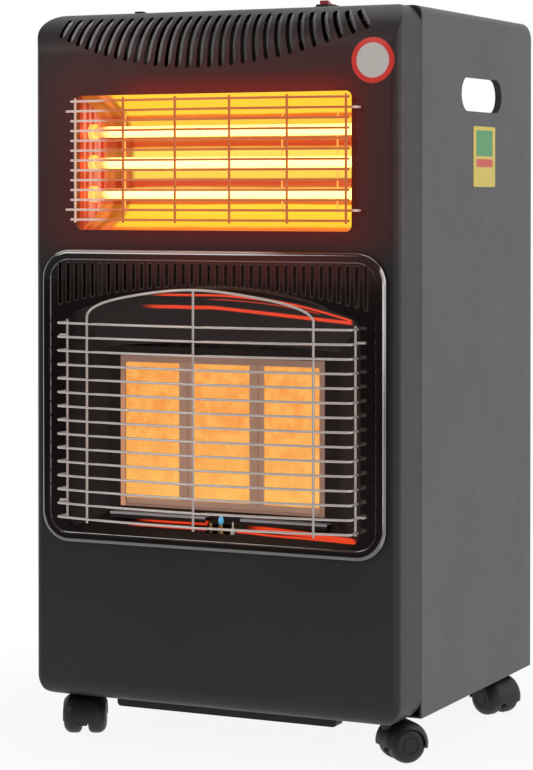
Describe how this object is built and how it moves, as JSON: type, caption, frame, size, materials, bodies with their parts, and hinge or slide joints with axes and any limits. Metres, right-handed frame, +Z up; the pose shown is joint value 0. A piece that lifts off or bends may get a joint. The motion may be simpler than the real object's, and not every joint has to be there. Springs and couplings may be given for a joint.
{
  "type": "portable gas cabinet heater",
  "caption": "Steel cabinet heater on castors: arched gas burner window below, electric quartz window above, each behind a wire guard, with louvred top edge and side hand holes.",
  "frame": {"origin": "middle of the bottom of the bounding box, on the floor under the castors", "axes": "+Z up, the front faces -Y, +X is to the right seen from the front"},
  "size_m": [0.4092, 0.4232, 0.733],
  "materials": {
    "front_paint": "charcoal powder coat with a soft sheen",
    "side_paint": "lighter grey powder coat",
    "enamel": "gloss black enamel",
    "hood_enamel": "black heat-proof enamel",
    "chrome_wire": "bright plated wire",
    "reflector": "polished stainless",
    "stainless": "heat-tinted stainless",
    "zinc": "zinc-plated sheet",
    "quartz": "clear quartz",
    "filament": "glowing resistance coil",
    "ceramic_cap": "unglazed ceramic",
    "plaque": "pierced burner ceramic, glowing orange",
    "brass": "machined brass",
    "gas_pipe": "drawn pipe",
    "black_plastic": "moulded",
    "console": "fine texture",
    "rocker_red": "red button",
    "knob": "moulded with a satin face",
    "base_black": "black paint",
    "screw": "zinc",
    "badge": "pale disc with a red ring",
    "label": "plain colour blocks"
  },
  "bodies": {
    "cabinet": {"front_panel": "front_paint", "left_side_panel": "side_paint", "right_side_panel": "side_paint", "top_panel": "front_paint", "base_tray": "base_black", "base_rail": "base_black", "heat_shield": "zinc", "cabinet_screws": "screw", "round_badge": "badge", "side_label": "label", "upper_reflector": "reflector", "reflector_ends": "reflector", "quartz_tubes": "quartz", "heater_filaments": "filament", "tube_caps": "ceramic_cap", "upper_guard": "chrome_wire", "lower_bezel": "enamel", "burner_hood": "hood_enamel", "burner_frame": "stainless", "plaque_left": "plaque", "plaque_centre": "plaque", "plaque_right": "plaque", "burner_box": "stainless", "mixing_tubes": "zinc", "gas_manifold": "zinc", "hood_lips": "stainless", "pilot_burner": "brass", "spark_electrode": "ceramic_cap", "thermocouple": "brass", "lower_guard": "chrome_wire", "control_console": "console", "control_bracket": "zinc", "rocker_housing": "black_plastic", "gas_valve": "brass", "gas_pipes": "gas_pipe", "tip_over_switch": "black_plastic", "terminal_block": "black_plastic", "cord_gland": "black_plastic", "castor_mounts": "black_plastic"},
    "rear_cover_body": {"rear_cover": "front_paint"},
    "tap": {"valve_plug": "brass"},
    "knob": {"valve_spindle": "zinc", "gas_knob": "knob"},
    "rocker_body": {"rocker_button": "rocker_red"},
    "castor_front_left": {"hood_front_left": "black_plastic", "axle_front_left": "screw"},
    "wheel_a_front_left_body": {"wheel_a_front_left": "black_plastic"},
    "wheel_b_front_left_body": {"wheel_b_front_left": "black_plastic"},
    "castor_front_right": {"hood_front_right": "black_plastic", "axle_front_right": "screw"},
    "wheel_a_front_right_body": {"wheel_a_front_right": "black_plastic"},
    "wheel_b_front_right_body": {"wheel_b_front_right": "black_plastic"},
    "castor_rear_left": {"hood_rear_left": "black_plastic", "axle_rear_left": "screw"},
    "wheel_a_rear_left_body": {"wheel_a_rear_left": "black_plastic"},
    "wheel_b_rear_left_body": {"wheel_b_rear_left": "black_plastic"},
    "castor_rear_right": {"hood_rear_right": "black_plastic", "axle_rear_right": "screw"},
    "wheel_a_rear_right_body": {"wheel_a_rear_right": "black_plastic"},
    "wheel_b_rear_right_body": {"wheel_b_rear_right": "black_plastic"}
  },
  "joints": [
    {"name": "tap_turn", "type": "hinge", "parent": "cabinet", "child": "tap", "pos_m": [-0.118, -0.088, 0.7], "axis": [0, 0, 1], "range_deg": [0, 150]},
    {"name": "knob_press", "type": "slide", "parent": "tap", "child": "knob", "axis": [0, 0, -1], "range_m": [0, 0.005], "stiffness_N_per_m": 400, "springref_m": -0.005},
    {"name": "rocker_tilt", "type": "hinge", "parent": "cabinet", "child": "rocker_body", "pos_m": [0.0865, -0.088, 0.727], "axis": [1, 0, 0], "range_deg": [0, 18]},
    {"name": "rear_cover_pull", "type": "slide", "parent": "cabinet", "child": "rear_cover_body", "axis": [0, 1, 0], "range_m": [0, 0.3]},
    {"name": "front_left_swivel", "type": "hinge", "parent": "cabinet", "child": "castor_front_left", "pos_m": [-0.166, -0.123, 0.03], "axis": [0, 0, 1], "continuous": true},
    {"name": "front_left_roll_a", "type": "hinge", "parent": "castor_front_left", "child": "wheel_a_front_left_body", "pos_m": [-0.15987, -0.13614, 0.018], "axis": [0.9063, 0.4226, 0], "continuous": true},
    {"name": "front_left_roll_b", "type": "hinge", "parent": "castor_front_left", "child": "wheel_b_front_left_body", "pos_m": [-0.15987, -0.13614, 0.018], "axis": [0.9063, 0.4226, 0], "continuous": true},
    {"name": "front_right_swivel", "type": "hinge", "parent": "cabinet", "child": "castor_front_right", "pos_m": [0.166, -0.123, 0.03], "axis": [0, 0, 1], "continuous": true},
    {"name": "front_right_roll_a", "type": "hinge", "parent": "castor_front_right", "child": "wheel_a_front_right_body", "pos_m": [0.17589, -0.11239, 0.018], "axis": [-0.7314, 0.682, 0], "continuous": true},
    {"name": "front_right_roll_b", "type": "hinge", "parent": "castor_front_right", "child": "wheel_b_front_right_body", "pos_m": [0.17589, -0.11239, 0.018], "axis": [-0.7314, 0.682, 0], "continuous": true},
    {"name": "rear_left_swivel", "type": "hinge", "parent": "cabinet", "child": "castor_rear_left", "pos_m": [-0.166, 0.139, 0.03], "axis": [0, 0, 1], "continuous": true},
    {"name": "rear_left_roll_a", "type": "hinge", "parent": "castor_rear_left", "child": "wheel_a_rear_left_body", "pos_m": [-0.17963, 0.13404, 0.018], "axis": [0.342, -0.9397, 0], "continuous": true},
    {"name": "rear_left_roll_b", "type": "hinge", "parent": "castor_rear_left", "child": "wheel_b_rear_left_body", "pos_m": [-0.17963, 0.13404, 0.018], "axis": [0.342, -0.9397, 0], "continuous": true},
    {"name": "rear_right_swivel", "type": "hinge", "parent": "cabinet", "child": "castor_rear_right", "pos_m": [0.166, 0.139, 0.03], "axis": [0, 0, 1], "continuous": true},
    {"name": "rear_right_roll_a", "type": "hinge", "parent": "castor_rear_right", "child": "wheel_a_rear_right_body", "pos_m": [0.17914, 0.13287, 0.018], "axis": [0.4226, 0.9063, 0], "continuous": true},
    {"name": "rear_right_roll_b", "type": "hinge", "parent": "castor_rear_right", "child": "wheel_b_rear_right_body", "pos_m": [0.17914, 0.13287, 0.018], "axis": [0.4226, 0.9063, 0], "continuous": true}
  ]
}
